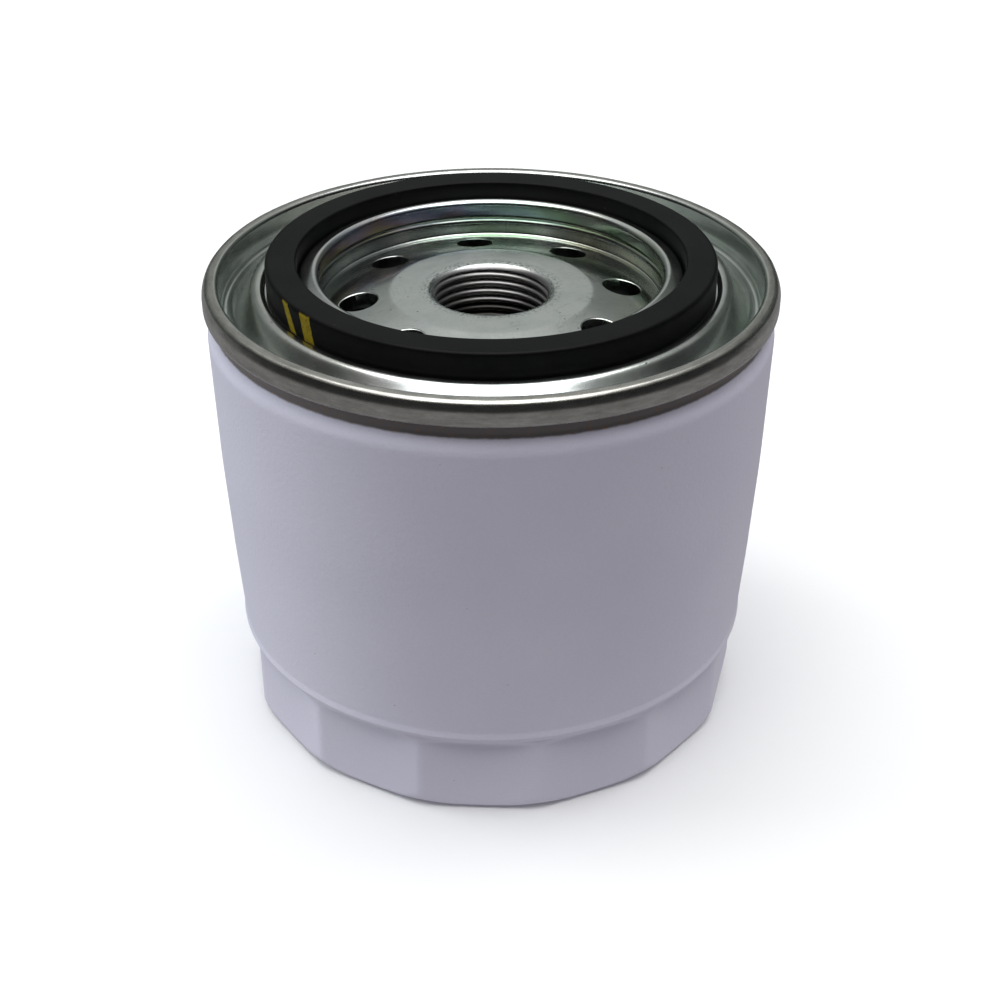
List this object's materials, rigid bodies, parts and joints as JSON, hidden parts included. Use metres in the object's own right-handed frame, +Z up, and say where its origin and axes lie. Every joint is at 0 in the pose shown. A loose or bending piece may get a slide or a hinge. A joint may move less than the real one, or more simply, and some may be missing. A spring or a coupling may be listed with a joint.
{
  "type": "spin-on oil filter",
  "caption": "Spin-on engine oil filter: painted steel canister with wrench flats, rolled seam, threaded plate, rubber gasket, pleated element and bypass valve.",
  "frame": {"origin": "centre of the closed end's bottom face, on the axis", "axes": "+Z up the axis towards the threaded end; -Y towards the side where two wrench flats meet nearest the front; +X to the right"},
  "size_m": [0.0936, 0.0936, 0.0811],
  "materials": {
    "can": "white stove enamel, fine orange peel",
    "seaming_lid": "bright zinc plate",
    "seam_sealant": "matt",
    "base_plate": "zinc plate, faintly iridescent",
    "gasket": "smooth moulded nitrile",
    "anti_drain_valve": "smooth moulded nitrile",
    "lower_end_cap": "tinned",
    "upper_end_cap": "tinned",
    "lower_potting": "set plastisol adhesive",
    "upper_potting": "set plastisol adhesive",
    "pleated_media": "resin-cured filter paper",
    "media_seam_clip": "tinned",
    "centre_tube": "zinc plate",
    "bypass_seat": "zinc plate",
    "bypass_cage": "zinc plate",
    "bypass_poppet": "zinc plate",
    "bypass_seal": "moulded nitrile",
    "bypass_spring": "spring wire",
    "spring_seat": "zinc plate",
    "support_spring": "spring wire"
  },
  "bodies": {
    "housing": {"can": "can", "seaming_lid": "seaming_lid", "seam_sealant": "seam_sealant", "base_plate": "base_plate", "anti_drain_valve": "anti_drain_valve", "support_spring": "support_spring"},
    "gasket": {"gasket": "gasket"},
    "element": {"lower_end_cap": "lower_end_cap", "upper_end_cap": "upper_end_cap", "lower_potting": "lower_potting", "upper_potting": "upper_potting", "pleated_media": "pleated_media", "media_seam_clip": "media_seam_clip", "centre_tube": "centre_tube", "bypass_seat": "bypass_seat", "bypass_cage": "bypass_cage", "bypass_spring": "bypass_spring", "spring_seat": "spring_seat"},
    "bypass_valve": {"bypass_poppet": "bypass_poppet", "bypass_seal": "bypass_seal"}
  },
  "joints": [
    {"name": "gasket_lift", "type": "slide", "parent": "housing", "child": "gasket", "axis": [0, 0, 1], "range_m": [0, 0.012]},
    {"name": "element_float", "type": "slide", "parent": "housing", "child": "element", "axis": [0, 0, 1], "range_m": [-0.002, 0], "stiffness_N_per_m": 3000, "springref_m": 0.001, "deforming": ["support_spring"]},
    {"name": "bypass_lift", "type": "slide", "parent": "element", "child": "bypass_valve", "axis": [0, 0, 1], "range_m": [0, 0.003], "stiffness_N_per_m": 2500, "springref_m": -0.0001, "deforming": ["bypass_spring"]}
  ]
}
